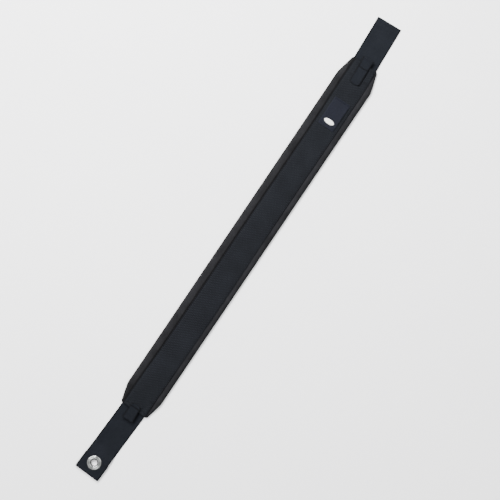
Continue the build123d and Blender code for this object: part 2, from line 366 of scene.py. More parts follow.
class Finish:
    """One material's nodes."""

    def __init__(self, name):
        self.material = bpy.data.materials.new(name)
        self.material.use_nodes = True
        self.tree = self.material.node_tree
        self.tree.nodes.clear()
        self.shader = self.node("ShaderNodeBsdfPrincipled")
        output = self.node("ShaderNodeOutputMaterial")
        self.tree.links.new(self.shader.outputs[0], output.inputs[0])

    def node(self, kind, settings=None, *values, **named):
        node = self.tree.nodes.new(kind)
        for key, value in (settings or {}).items():
            setattr(node, key, value)
        for socket, value in list(enumerate(values)) + list(named.items()):
            self.put(node, socket.replace("_", " ") if isinstance(socket, str) else socket, value)
        return node

    def put(self, node, socket, value):
        target = node.inputs[socket]
        if isinstance(value, Amount):
            value = value.socket
        if isinstance(value, bpy.types.NodeSocket):
            self.tree.links.new(value, target)
        else:
            target.default_value = value

    def set(self, **values):
        for name, value in values.items():
            self.put(self.shader, name.replace("_", " "), value)

    def amount(self, node, output=0):
        return Amount(self, node.outputs[output])

    def coordinates(self):
        return self.node("ShaderNodeTexCoord").outputs["Object"]

    def cloth(self):
        """Places along and across the cloth, in millimetres."""
        flat = self.node("ShaderNodeUVMap", {"uv_map": "cloth"})
        split = self.node("ShaderNodeSeparateXYZ", None, flat.outputs[0])
        return self.amount(split, 0), self.amount(split, 1)

    def speckle(self, size, detail=2.0, seed=0.0, stretch=(1, 1, 1)):
        """Noise from 0 to 1, with spots of about the given size in millimetres."""
        scale = tuple(s / (size * MM) for s in stretch)
        place = (seed, 0, seed)
        spot = self.node("ShaderNodeMapping", None, self.coordinates(), Scale=scale, Location=place)
        grain = self.node("ShaderNodeTexNoise", None, spot.outputs[0], Scale=1.0, Detail=detail)
        return self.amount(grain, 0)

    def attribute(self, name):
        node = self.node("ShaderNodeAttribute", {"attribute_name": name})
        return self.amount(node, 2)

    def mixed(self, share, first, second):
        """One colour turning into another."""
        node = self.node("ShaderNodeMix", {"data_type": "RGBA"})
        self.put(node, 0, share)
        self.put(node, 6, first)
        self.put(node, 7, second)
        return node.outputs[2]

    def bump(self, height, distance, strength=1.0):
        node = self.node("ShaderNodeBump", None, Strength=strength, Distance=distance * MM)
        self.put(node, "Height", height)
        self.put(self.shader, "Normal", node.outputs[0])


def colour(red, green, blue):
    """A surface colour from display values of 0 to 255."""
    shades = [c / 255 for c in (red, green, blue)]
    return tuple(s / 12.92 if s <= 0.04045 else ((s + 0.055) / 1.055) ** 2.4 for s in shades) + (1.0,)


# ---- Finishes ------------------------------------------------------------------------------------
def woven(name, dark, light, edge, cord=1.5, pick=2.2, step=0.5, depth=0.32, rough=0.62):
    """Webbing: cords along it, each with its own rise and fall as they cross the wefts."""
    cloth = Finish(name)
    along, across = cloth.cloth()
    slack = cloth.speckle(14.0, 2.0, 3.0)
    rows = (across + slack * 0.5) / cord
    row = rows.whole()
    crossing = along / pick + row * step
    cord_round = rows.hump() ** 0.7
    rise = 0.4 + 0.6 * crossing.hump()
    bulge = cord_round * rise
    strands = ((across / 0.21) + along * 0.35).wave() * 0.5 + 0.5
    fuzz = cloth.speckle(0.35, 3.0, 7.0)
    patch = cloth.speckle(24.0, 3.0, 1.0)
    edge_and_shade_share = cloth.attribute("edge_and_shade")
    # The cords' crowns are painted lighter and the hollows between them darker: painted shade, added to
    # random tone from fuzz, patches and strands.
    tone_and_shade = (bulge * 0.62 + fuzz * 0.3 + patch * 0.35 + strands * 0.06 - 0.22).within()
    body = cloth.mixed(tone_and_shade, dark, light)
    # Towards the edge colour near edges: painted shade along the webbing's rolled edges and the panel's
    # seams; on the label, its own edge colour.
    cloth.set(Base_Color=cloth.mixed(edge_and_shade_share * 0.85, body, edge))
    cloth.set(Roughness=(rough + fuzz * 0.3 - bulge * 0.12).within())
    cloth.set(Specular_IOR_Level=0.05, Sheen_Weight=0.015, Sheen_Roughness=0.5)
    cloth.bump(bulge + strands * 0.08 + fuzz * 0.25, depth)
    return cloth.material


def jersey(name, dark, light, loop=0.9, sheen=0.05):
    """Brushed knit: fine columns of loops under a soft nap, with a few lighter hairs."""
    knit = Finish(name)
    along, across = knit.cloth()
    column = (across / loop).hump()
    lean = (across / loop).part() - 0.5
    rung = (along / (loop * 0.8) + lean.math("ABSOLUTE", lean)).hump()
    nap = knit.speckle(0.55, 4.0, 2.0)
    hairs = knit.speckle(0.5, 2.0, 9.0, stretch=(0.35, 1.4, 1.0))
    clouds = knit.speckle(17.0, 3.0, 5.0)
    # The loops are painted lighter on their crowns and darker between them: painted shade, added to random
    # tone from nap, hairs and clouds.
    tone_and_shade = (nap * 0.75 + hairs * 0.35 + clouds * 0.55 + column * rung * 0.22 - 0.5).within()
    body = knit.mixed(tone_and_shade, dark, light)
    painted_edge_shade = knit.attribute("edge_and_shade")
    # Near-black at the cover's edges and beside the panel's seam: painted shade.
    knit.set(Base_Color=knit.mixed(painted_edge_shade * 0.85, body, colour(2, 2, 2.5)))
    knit.set(Roughness=(0.8 + nap * 0.18).within())
    knit.set(Specular_IOR_Level=0.04, Sheen_Weight=sheen, Sheen_Roughness=0.45)
    knit.bump(column * rung * 0.35 + nap * 0.7 + hairs * 0.4, 0.3)
    return knit.material


def spun(name, dark, light, twist=0.55, rough=0.5, gloss=0.05):
    """Sewing thread: plies that wind round each stitch."""
    thread = Finish(name)
    grain = thread.speckle(0.3, 2.0, 4.0)
    split = thread.node("ShaderNodeSeparateXYZ", None, thread.coordinates())
    wound = ((thread.amount(split, 0) + thread.amount(split, 1)) / (twist * MM)).wave() * 0.5 + 0.5
    # The plies' crowns are painted lighter and the grooves between them darker: painted shade, with random
    # grain.
    thread.set(Base_Color=thread.mixed((wound * 0.6 + grain * 0.5 - 0.1).within(), dark, light))
    thread.set(Roughness=(rough + grain * 0.3).within(), Specular_IOR_Level=gloss)
    thread.bump(wound + grain * 0.4, 0.08)
    return thread.material


def nickel(name):
    """Bright plate with soft smears and a few rubbed spots."""
    plate = Finish(name)
    smear = plate.speckle(3.5, 3.0, 2.0)
    pits = plate.speckle(0.5, 3.0, 6.0)
    bright = plate.mixed(smear, colour(112, 114, 113), colour(156, 158, 157))
    # Dark in the mouth, the groove and under the rim's edge: painted shade.
    plate.set(Base_Color=plate.mixed(plate.attribute("edge_and_shade") * 0.8, bright, colour(38, 39, 40)))
    plate.set(Metallic=1.0, Roughness=(0.12 + smear * 0.12 + pits * 0.08).within())
    plate.bump(smear * 0.5 + pits * 0.3, 0.03, 0.6)
    return plate.material


def pale_floor(name):
    ground = Finish(name)
    tone = ground.speckle(180.0, 2.0, 1.0)
    ground.set(Base_Color=ground.mixed(tone, colour(241, 241, 242), colour(245, 245, 246)))
    ground.set(Roughness=0.9, Specular_IOR_Level=0.1)
    return ground.material


NAVY_DARK, NAVY_LIGHT = colour(3.5, 4.5, 6), colour(23.5, 26, 32)
# The last colour given to each webbing is its painted shade at edges and seams; the label's is its own edge
# colour.
panel_cloth = woven(
    "panel_webbing", colour(2, 2.5, 3.5), colour(25, 27, 31.5), colour(1.5, 1.5, 2),
    cord=2.1, pick=3.8, step=0.25, depth=0.4,
)
tail_cloth = woven("tail_webbing", NAVY_DARK, NAVY_LIGHT, colour(2, 2, 3))
tab_cloth = woven("tab_webbing", NAVY_DARK, NAVY_LIGHT, colour(2.5, 2.5, 3.5), cord=1.2, pick=1.8)
cover_cloth = jersey("cover_knit", colour(5, 5, 5.5), colour(40, 40, 42.5))
lining_cloth = jersey("lining_knit", colour(5, 5, 6), colour(26, 26, 29), loop=1.1, sheen=0.02)
black_thread = spun("black_thread", colour(2, 2, 2.5), colour(12, 12, 14))
white_thread = spun(
    "white_thread", colour(206, 206, 203), colour(244, 244, 241), twist=0.4, rough=0.38, gloss=0.4
)
label_cloth = woven(
    "label_cloth", colour(5, 5.5, 9), colour(22.5, 24.5, 33.5), colour(21.5, 23, 30.5),
    cord=0.45, pick=0.9, depth=0.1, rough=0.5,
)
bright_metal = nickel("nickel_plate")
floor_finish = pale_floor("pale_floor")


def finish(piece, material, slot):
    piece.data.materials.clear()
    piece.data.materials.append(material)


# ---- Pad cover -----------------------------------------------------------------------------------
BORDER_POINTS = 15
UNDER_POINTS = 12
BACK_POINTS = 8
SWELL_STEPS = 20


def border_point(x, side, share):
    """A point of one border, from the panel's edge (0) round to the lining (1)."""
    half = half_width(x, side)
    inner = side * min(side * panel_edge(x, side) - 0.9, half - 0.8)
    width = half - side * inner
    turn = share * pi / 2
    full_pad = end_share(x)
    # The cover rolls out past its sewn edge, stands full, and dips beside the panel's seam.
    roll = (1.2 + 0.2 * side) * max(0.0, sin(2 * turn - 0.6)) * full_pad
    y = inner + side * (width * sin(turn) ** 0.92 + roll)
    full = cover_height(x) - LINING_TOP + 0.75 * min(1.0, width / 10.0) * full_pad
    full += 0.25 * uneven(x, side * 40, 13.0, 11) * full_pad
    z = LINING_TOP + full * max(0.0, cos(turn)) ** 0.62
    off = abs(y - inner)
    z -= (0.75 + 0.25 * uneven(x, side, 6.0, 12)) * exp(-off / 1.6)
    z -= (z - LINING_TOP) * 0.4 * (1 - ease(from_end(x), 0.0, 2.5))
    return y, max(LINING_TOP, z)


def cover_ring(x):
    left = [border_point(x, 1, k / BORDER_POINTS) for k in range(BORDER_POINTS, -1, -1)]
    right = [border_point(x, -1, k / BORDER_POINTS) for k in range(BORDER_POINTS + 1)]
    under = []
    for k in range(1, UNDER_POINTS):
        y = left[-1][0] + (right[0][0] - left[-1][0]) * k / UNDER_POINTS
        under.append((y, panel_height(x, y) - PANEL_THICKNESS - 0.35))
    back = []
    for k in range(1, BACK_POINTS):
        back.append((right[-1][0] + (left[0][0] - right[-1][0]) * k / BACK_POINTS, LINING_TOP))
    return [(x, y, z) for y, z in left + under + right + back]


def cover_painted_shade(x, y):
    """How dark the cover is: pale, with painted shade where it turns in at its edges and in the groove
    beside the panel's seam; the left border is a little darker overall and darker towards the eyelet end.
    """
    if y > 0:
        outer = max(0.07, 0.35 * (1 - ease(half_width(x, 1) - y, 0.2, 1.0)))
        outer = max(outer, 0.5 * (1 - ease(x - EYELET_END, 10.0, 70.0)))
        return max(outer, 0.8 * (1 - ease(y - panel_edge(x, 1), 0.4, 2.4)))
    return 1 - ease(half_width(x, -1) + y, 0.4, 1.7)


def held_amount(point):
    """1 where the cover is sewn or lies on the lining, 0 where it is free to swell."""
    x, y, z = point / MM
    side = 1 if y > PANEL_MIDDLE else -1
    away = side * (y - panel_edge(x, side))
    free = away >= 0.6 and z >= LINING_TOP + 0.35 and from_end(x) > 3.0
    return 0.0 if free else 1.0


def swell(piece, held, pressure, most):
    """Fills a closed cover from within, as a cloth held at its seams. No point moves further
    than most."""
    group = piece.vertex_groups.new(name="held")
    for vertex in piece.data.vertices:
        group.add([vertex.index], held(vertex.co), "REPLACE")
    cloth = piece.modifiers.new("cloth", "CLOTH")
    settings = cloth.settings
    settings.quality = 4
    settings.vertex_group_mass = group.name
    settings.use_pressure = True
    settings.uniform_pressure_force = pressure
    settings.tension_stiffness = 6
    settings.compression_stiffness = 6
    settings.bending_stiffness = 0.2
    settings.effector_weights.gravity = 0
    cloth.collision_settings.use_collision = False
    cloth.point_cache.frame_end = SWELL_STEPS
    for step in range(1, SWELL_STEPS + 1):
        scene.frame_set(step)
    evaluated = piece.evaluated_get(bpy.context.evaluated_depsgraph_get())
    swollen = [vertex.co.copy() for vertex in evaluated.data.vertices]
    piece.modifiers.remove(cloth)
    for vertex, moved in zip(piece.data.vertices, swollen):
        shift = moved - vertex.co
        length = shift.length
        if length > 1e-9:
            vertex.co += shift / length * most * (1 - exp(-length / most))
        vertex.co.z = max(vertex.co.z, LINING_TOP * MM)
    piece.vertex_groups.clear()
    scene.frame_set(1)


def make_pad_cover():
    rings = [cover_ring(x) for x in stations(EYELET_END, PLAIN_END, 1.6)]
    cloth = []
    for ring in rings:
        face = len(ring) - BACK_POINTS + 1
        cloth.append([(x, y) for x, y, z in ring[:face]] + [(x, y + BACK_SHIFT) for x, y, z in ring[face:]])
    # Painted shade at the cover's turned edges and beside the panel's seam.
    painted_edge_shade = [[cover_painted_shade(x, y) for x, y, z in ring] for ring in rings]
    piece = loft("pad_cover", rings, cloth, painted_edge_shade)
    swell(piece, held_amount, pressure=9.0, most=0.9 * MM)
    finish(piece, cover_cloth, "cover")
    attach(piece, "pad")
    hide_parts("face_cover", "foam_core")
    return piece


def make_lining():
    rings, cloth = [], []
    for x in stations(EYELET_END, PLAIN_END, 4.0):
        left, right = half_width(x, 1), -half_width(x, -1)
        ring = strip_ring(right, left, LINING_TOP, 14, lip=0.0)
        rings.append([(x, y, z + LINING_TOP / 2) for y, z in ring])
        cloth.append([(x, y) for y, z in ring])
    piece = loft("pad_lining", rings, cloth)
    finish(piece, lining_cloth, "lining")
    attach(piece, "pad")
    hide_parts("back_lining")
    steps = stations(EYELET_END, PLAIN_END, 2.0)
    area = sum(half_width(x, 1) + half_width(x, -1) for x in steps[1:-1]) * (steps[1] - steps[0])
    area * MM**2


def make_panel():
    rings, cloth, edge_and_shade = [], [], []
    for x in stations(panel_low.x, panel_high.x, 1.6):
        low, high = panel_edge(x, -1), panel_edge(x, 1)
        right_seam_shade = 0.45 + 0.55 * (1 - ease(x - EYELET_END, 30.0, 110.0))  # painted seam shade, fainter further on
        sway = 0.14 * uneven(x, 0, 30.0, 21)
        ring, places, edge_and_shade_values = [], [], []
        tuck = round_off(min(panel_high.x - x, x - panel_low.x), 2.5)
        right_tuck = tuck + 1.3 * ease(x, panel_high.x - 26.0, panel_high.x)
        for y, off in strip_ring(low + right_tuck, high - tuck, PANEL_THICKNESS, 34, lip=0.1):
            edge_sway = 0.16 * ease(abs(y - PANEL_MIDDLE), 12, 19) * uneven(x, y, 6.5, 22)
            middle = panel_height(x, min(high, max(low, y))) - PANEL_THICKNESS / 2
            ring.append((x, y + sway + edge_sway, middle + off))
            places.append((x - EYELET_END, y + CLOTH_SHIFT))
            # Both woven edges are painted dark: painted shade in the seam grooves beside the borders.
            left_seam_shade = 1 - ease(high - tuck - y, 0.4, 1.7)
            edge_and_shade_values.append(max(left_seam_shade, right_seam_shade * (1 - ease(y - low - right_tuck, 0.3, 1.4))))
        rings.append(ring)
        cloth.append(places)
        edge_and_shade.append(edge_and_shade_values)
    piece = loft("panel_strip", rings, cloth, edge_and_shade)
    finish(piece, panel_cloth, "panel_webbing")
    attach(piece, "pad")
    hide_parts("centre_panel")
    return piece


# ---- Tails ---------------------------------------------------------------------------------------
# Lengths along a tail run outwards from the line it folds about.
FOLD_GAP = plain_fold.middle.x - PLAIN_END  # from the pad's end out to that line
FOLD_Z = plain_fold.middle.z
ROOT = 30.0 + FOLD_GAP  # sewn into the pad
SETTLE = 14.0  # where a tail has come down to the floor
PLAIN_TAIL = 71.0 - FOLD_GAP
HEM_END = 117.2 - FOLD_GAP
HEM = 26.7  # folded under
HEM_RISE = 16.0  # the slope up to the doubled end
EYELET_X = HEM_END - 19.7
HEM_LOW = 1.05 + WEBBING / 2
HEM_HIGH = HEM_LOW + WEBBING + 0.1
HEM_TOP = HEM_HIGH + WEBBING / 2
HALF_TAIL = HALF_WEBBING + 0.7  # the woven edges swell a little

# The eyelet's radii.
HOLE = 4.6
ROLL = 6.9
GROOVE = 8.35
FLANGE = 11.3


def tail_height(x):
    return FOLD_Z - (FOLD_Z - WEBBING / 2) * ease(x, 1.0, SETTLE)


def plain_tail_edges(x):
    return -HALF_TAIL, HALF_TAIL


def eyelet_tail_edges(x):
    spread = 0.7 * ease(x, HEM_END - HEM - 1.5, HEM_END - HEM + 0.5)
    spread -= 0.35 * ease(x, HEM_END - 3.0, HEM_END)
    return -HALF_TAIL - spread, HALF_TAIL + spread


def make_plain_tail():
    path = [(x, tail_height(x)) for x in stations(-ROOT, PLAIN_TAIL, 1.5)]
    piece, length = ribbon("plain_tail_strip", path, plain_tail_edges, WEBBING, plain_fold.place, seed=31)
    finish(piece, tail_cloth, "tail_webbing")
    plain_fold.metres(-1.5)
    plain_fold.metres(6.0)
    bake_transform(piece)
    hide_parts("plain_tail_root", "plain_tail")


def hem_path():
    """Along the eyelet tail, up to its doubled end, round the end and back underneath."""
    level = EYELET_X - FLANGE - 1.5
    turn_radius = WEBBING / 2 + 0.05
    turn_x = HEM_END - WEBBING - 0.05
    path = []
    for x in stations(-ROOT, turn_x, 1.5):
        rise = ease(x, level - HEM_RISE, level) * (HEM_HIGH - WEBBING / 2)
        path.append((x, tail_height(x) + rise))
    middle = (HEM_LOW + HEM_HIGH) / 2
    for turn in (60, 30, 0, -30, -60):
        a = radians(turn)
        path.append((turn_x + turn_radius * cos(a), middle + turn_radius * sin(a)))
    path += [(x, HEM_LOW) for x in stations(turn_x, HEM_END - HEM, 1.5)]
    return path


def punch(piece, fold, x, radius):
    """Cuts a round hole straight down through a strip."""
    spot = fold.place(x, 0, 3.0) * MM
    bpy.ops.mesh.primitive_cylinder_add(vertices=48, radius=radius * MM, depth=0.03, location=spot)
    tool = bpy.context.object
    cut = piece.modifiers.new("hole", "BOOLEAN")
    cut.operation = "DIFFERENCE"
    cut.solver = "EXACT"
    cut.object = tool
    evaluated = piece.evaluated_get(bpy.context.evaluated_depsgraph_get())
    mesh = bpy.data.meshes.new_from_object(evaluated)
    piece.modifiers.remove(cut)
    piece.data = mesh
    bpy.data.objects.remove(tool)
    smooth(mesh)


def make_eyelet_tail():
    piece, length = ribbon(
        "eyelet_tail_strip", hem_path(), eyelet_tail_edges, WEBBING, eyelet_fold.place, seed=33
    )
    punch(piece, eyelet_fold, EYELET_X, HOLE + 0.6)
    finish(piece, tail_cloth, "tail_webbing")
    eyelet_fold.metres(-1.5)
    eyelet_fold.metres(6.0)
    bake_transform(piece)
    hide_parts("eyelet_tail_root", "eyelet_tail")


# ---- Eyelet --------------------------------------------------------------------------------------
def bow(start, middle, end, count):
    """Points on a smooth bow through three (radius, height) points, without the last."""
    points = []
    for k in range(count):
        t = k / count
        a, b, c = (1 - t) * (1 - 2 * t), 4 * t * (1 - t), t * (2 * t - 1)
        points.append(tuple(a * p + b * q + c * r for p, q, r in zip(start, middle, end)))
    return points


def painted_ring_shade(radius):
    """How much painted shade darkens the plate: in the mouth, in the groove and under the rim's edge."""
    mouth = 1 - ease(radius, 5.2, 6.3)
    groove = 0.65 * exp(-(((radius - GROOVE) / 0.4) ** 2))
    return max(mouth, groove, 0.6 * ease(radius, 10.7, FLANGE))


def make_eyelet_barrel():
    """The ring that shows: a funnel mouth, a roll, a fine groove and a crowned brim, in one piece."""
    under = HEM_TOP - 0.1
    mouth, roll = (HOLE, HEM_TOP - 0.5), (ROLL, HEM_TOP + 1.35)
    groove, rim = (GROOVE, HEM_TOP + 0.98), (FLANGE, under)
    profile = bow(mouth, (5.55, HEM_TOP + 0.85), roll, 12)
    profile += bow(roll, (7.75, HEM_TOP + 1.22), groove, 6)
    profile += bow(groove, (9.8, HEM_TOP + 1.12), rim, 14)
    profile += [rim, (FLANGE - 0.1, under), (FLANGE - 0.7, under), (HOLE + 0.5, under)]
    profile += [(HOLE + 0.5, 0.55), (6.4, 0.55)]
    profile += bow((6.4, 0.4), (5.6, 0.0), (HOLE, 0.4), 8)
    profile += [(HOLE, 0.4), (HOLE, HEM_TOP / 2)]
    sides = 96
    rings = []
    for k in range(sides):
        turn = 2 * pi * k / sides
        ring = []
        for r, z in profile:
            pressed = 0.03 * sin(2 * turn) * ease(r, 6, 11)
            ring.append(eyelet_fold.place(EYELET_X + r * cos(turn), r * sin(turn), z + pressed))
        rings.append(ring)
    mesh = bpy.data.meshes.new("eyelet_ring")
    size = len(profile)
    points = [point * MM for ring in rings for point in ring]
    faces = []
    for i in range(sides):
        here, beyond = i * size, (i + 1) % sides * size
        for k in range(size):
            after = (k + 1) % size
            faces.append((here + k, here + after, beyond + after, beyond + k))
    mesh.from_pydata(points, [], faces)
    close_skin(mesh, 40)
    # Painted shade in the mouth, the groove and under the rim's edge.
    ring_shade_values = mesh.attributes.new("edge_and_shade", "FLOAT", "POINT")
    ring_shade_values.data.foreach_set("value", [painted_ring_shade(r) for r, z in profile] * sides)
    piece = piece_from("eyelet_ring", mesh)
    finish(piece, bright_metal, "eyelet_metal")
    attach(piece, "eyelet_tail")
    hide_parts("eyelet_barrel")


def finish_washer():
    washer = frame["nodes"]["eyelet_washer"]
    washer.data.materials.clear()
    washer.data.materials.append(bright_metal)


# ---- Tabs ----------------------------------------------------------------------------------------
TAB_LAYER = 1.0
TAB_GAP = 0.15
TAB_BULGE = 0.65
HALF_TAB = 8.25
TAB_FOLD_GAP = 5.1  # from the pad's end out to the line a tab folds about


def tab_underside(fold, x):
    """The height of what a tab lies on, or would lie on where it stands out past the pad."""
    spot = fold.place(x, 0, 0)
    inside, beyond = from_end(spot.x), fold.middle.z - 1.1
    if inside <= 1.0:
        return beyond
    level = panel_height(spot.x, spot.y)
    return level + (beyond - level) * (1 - ease(inside, 1.0, 6.0))


def make_tab(name, fold, root, tip, tip_lift, nodes, seed):
    """A strip doubled back on itself: sewn down on the panel, free and bulging at its nose.
    root is how far it reaches in over the pad, tip how far out past its fold line. Gives its
    height, as a function of x and its layer, 0 below and 1 above."""
    inner = -(TAB_FOLD_GAP + root)
    nose = tip - 1.4

    def layer(x, level):
        lift = tip_lift * ease(x, 0.0, tip)
        spread = TAB_BULGE * ease(x, nose - 6.0, nose) * (1 if level else -1)
        return tab_underside(fold, x) + (level + 0.5) * (TAB_LAYER + TAB_GAP) + lift + spread * 0.55

    def edges(x):
        half = HALF_TAB + 0.6 * ease(x, -6.0, tip) - round_off(x - inner, 4.0)
        return -half, half

    path = [(x, layer(x, 1)) for x in stations(inner + 0.15, nose, 0.8)]
    top, low = path[-1][1], layer(nose, 0)
    middle, radius = (top + low) / 2, (top - low) / 2
    for turn in (66, 42, 18, -6, -30, -54):
        a = radians(turn)
        path.append((nose + 1.5 * radius * cos(a), middle + radius * sin(a) * 1.06))
    path += [(x, layer(x, 0)) for x in stations(nose, inner + 0.3, 0.8)]
    piece, length = ribbon(
        name, path, edges, TAB_LAYER, fold.place, columns=14, seed=seed, wander=0.1, lip=0.06
    )
    finish(piece, tab_cloth, "tab_webbing")
    fold.metres(-1.5)
    fold.metres(min(4.0, tip - 0.5))
    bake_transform(piece)
    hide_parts(*nodes)
    return layer


# ---- Label ---------------------------------------------------------------------------------------
def label_height(x, y):
    """The label's top: sewn down along its ends, loose and a little lifted at its corners."""
    length = (label_high.x - label_low.x) / 2
    width = (label_high.y - label_low.y) / 2
    along = (x - (label_low.x + label_high.x) / 2) / length
    across = (y - (label_low.y + label_high.y) / 2) / width
    lift = 0.55 + 0.5 * abs(across) ** 3 * (1 - along**2) + 0.25 * (1 - across**2)
    lift += 0.18 * uneven(x, y, 11.0, 41)
    lift += 0.9 * exp(-(((along - 0.985) / 0.03) ** 2))
    row = exp(-(((abs(along) - 0.922) / 0.03) ** 2))
    return panel_height(x, y) + 0.35 + lift * (1 - 0.55 * row)


def make_label():
    rings, cloth, edge_and_shade = [], [], []
    for x in stations(label_low.x, label_high.x, 0.7):
        ring, places, edge_and_shade_values = [], [], []
        inside = min(x - label_low.x, label_high.x - x)
        tuck = 0.35 * (1 - ease(inside, 0.0, 1.2))
        for y, off in strip_ring(label_low.y + tuck, label_high.y - tuck, 0.7, 26, lip=0.1):
            wavy = 0.15 * uneven(x, y, 5.0, 43)
            ring.append((x + 0.2 * uneven(y, 0, 7.0, 44), y + wavy, label_height(x, y) + off))
            places.append((x, y + CLOTH_SHIFT))
            edge_and_shade_values.append(1 - ease(min(inside, y - label_low.y, label_high.y - y), 0.2, 1.3))
        rings.append(ring)
        cloth.append(places)
        edge_and_shade.append(edge_and_shade_values)
    piece = loft("label_patch", rings, cloth, edge_and_shade)
    finish(piece, label_cloth, "label_cloth")
    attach(piece, "pad")
    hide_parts("label")


# ---- Stitches ------------------------------------------------------------------------------------
def stitch_tree():
    """Threads laid along a line at a chosen pitch, each a small round-backed stitch."""
    tree = bpy.data.node_groups.new("stitches", "GeometryNodeTree")
    face = tree.interface
    face.new_socket("Line", in_out="INPUT", socket_type="NodeSocketGeometry")
    for name in ("Pitch", "Length", "Width", "Height", "Turn"):
        face.new_socket(name, in_out="INPUT", socket_type="NodeSocketFloat")
    face.new_socket("Seed", in_out="INPUT", socket_type="NodeSocketInt")
    face.new_socket("Thread", in_out="INPUT", socket_type="NodeSocketMaterial")
    face.new_socket("Stitches", in_out="OUTPUT", socket_type="NodeSocketGeometry")

    def node(kind, settings=None, **links):
        made = tree.nodes.new(kind)
        for key, value in (settings or {}).items():
            setattr(made, key, value)
        for socket, value in links.items():
            target = made.inputs[socket.replace("_", " ")]
            if isinstance(value, bpy.types.NodeSocket):
                tree.links.new(value, target)
            else:
                target.default_value = value
        return made

    given = node("NodeGroupInput").outputs
    curve = node("GeometryNodeMeshToCurve", Mesh=given["Line"])
    spaced = node("GeometryNodeResampleCurve", Curve=curve.outputs[0])
    if "Mode" in spaced.inputs:
        spaced.inputs["Mode"].default_value = "Length"
    else:
        spaced.mode = "LENGTH"
    tree.links.new(given["Pitch"], spaced.inputs["Length"])
    points = node("GeometryNodeCurveToPoints", {"mode": "EVALUATED"}, Curve=spaced.outputs[0])
    shape = node("GeometryNodeMeshUVSphere", Segments=8, Rings=6, Radius=0.5)
    aim = node("FunctionNodeAlignRotationToVector", {"axis": "X"}, Vector=points.outputs["Tangent"])
    sway = node("FunctionNodeRandomValue", {"data_type": "FLOAT"}, Seed=given["Seed"])
    sway.inputs[2].default_value = -0.09
    sway.inputs[3].default_value = 0.09
    angle = node("ShaderNodeMath", {"operation": "ADD"})
    tree.links.new(given["Turn"], angle.inputs[0])
    tree.links.new(sway.outputs[1], angle.inputs[1])
    twist = node("ShaderNodeCombineXYZ", Z=angle.outputs[0])
    turned = node("FunctionNodeRotateRotation", {"rotation_space": "LOCAL"}, Rotation=aim.outputs[0])
    tree.links.new(twist.outputs[0], turned.inputs["Rotate By"])
    size = node("ShaderNodeCombineXYZ", X=given["Length"], Y=given["Width"], Z=given["Height"])
    placed = node(
        "GeometryNodeInstanceOnPoints", Points=points.outputs[0], Instance=shape.outputs[0],
        Rotation=turned.outputs[0], Scale=size.outputs[0],
    )
    real = node("GeometryNodeRealizeInstances", Geometry=placed.outputs[0])
    soft = node("GeometryNodeSetShadeSmooth", Geometry=real.outputs[0])
    dyed = node("GeometryNodeSetMaterial", Geometry=soft.outputs[0], Material=given["Thread"])
    node("NodeGroupOutput", Stitches=dyed.outputs[0])
    return tree


stitch_nodes = stitch_tree()


def sew(name, lines, body, nodes, seed, pitch=3.2, length=2.7, width=0.6, height=0.5, turn=0.0):
    """Sews rows of stitches along lines of millimetre points, as one piece."""
    points, runs = [], []
    for line in lines:
        first = len(points)
        points += [Vector(point) * MM for point in line]
        runs += [(first + k, first + k + 1) for k in range(len(line) - 1)]
    mesh = bpy.data.meshes.new(name)
    mesh.from_pydata(points, runs, [])
    guide = piece_from(name + "_line", mesh)
    maker = guide.modifiers.new("stitches", "NODES")
    maker.node_group = stitch_nodes
    given = {
        "Pitch": pitch * MM, "Length": length * MM, "Width": width * MM, "Height": height * MM,
        "Turn": radians(turn), "Seed": seed, "Thread": black_thread,
    }
    for item in stitch_nodes.interface.items_tree:
        if item.item_type == "SOCKET" and item.in_out == "INPUT" and item.name in given:
            maker[item.identifier] = given[item.name]
    evaluated = guide.evaluated_get(bpy.context.evaluated_depsgraph_get())
    sewn = bpy.data.meshes.new_from_object(evaluated)
    bpy.data.objects.remove(guide)
    sewn.name = name
    piece = piece_from(name, sewn)
    finish(piece, black_thread, "thread")
    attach(piece, body)
    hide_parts(*nodes)


def on_panel(x, y, lift=0.1):
    return (x, y, panel_height(x, y) + lift)


def panel_seam_line(side):
    line = []
    for x in stations(EYELET_END + 4, PLAIN_END - 4, 3.2):
        y = panel_edge(x, side) - side * SEAM_INSET
        line.append(on_panel(x, y + 0.12 * uneven(x, 0, 12.0, 51 + side)))
    return line


def edge_seam_line(side):
    line = []
    for x in stations(EYELET_END + 4, PLAIN_END - 4, 3.0):
        line.append((x, side * (half_width(x, side) - 0.05), LINING_TOP * 0.75))
    return line


def anchor_lines(end, inward):
    """Short rows beside the tab, two on each side of the panel, that hold a tail's root."""
    lines = []
    for distance in (5.0, 24.0):
        x = end + inward * distance
        for side in (-1, 1):
            ys = stations(PANEL_MIDDLE + side * 16.0, PANEL_MIDDLE + side * 11.2, 1.0)
            lines.append([on_panel(x, y) for y in sorted(ys)])
    return lines


def tack_line(fold, layer, setback, bow_depth):
    """A close bar of stitches across a tab."""
    line = []
    for y in stations(-HALF_TAB + 1.5, HALF_TAB - 1.5, 0.8):
        x = -(TAB_FOLD_GAP + setback) + bow_depth * (y / HALF_TAB) ** 2
        spot = fold.place(x, y, layer(x, 1) + TAB_LAYER / 2 + 0.02)
        line.append(tuple(spot))
    return line


def hem_lines():
    x = HEM_END - HEM + 1.6
    lines = []
    for side in (-1, 1):
        ys = sorted((side * 12.2, side * 17.4))
        lines.append([tuple(eyelet_fold.place(x, y, HEM_TOP + 0.12)) for y in stations(*ys, 1.0)])
    return lines


def label_lines():
    inset = 1.8
    lines = []
    for x in (label_low.x + inset, label_high.x - inset):
        ys = stations(label_low.y + inset, label_high.y - inset, 1.2)
        lines.append([(x, y, label_height(x, y) + 0.38) for y in ys])
    return lines


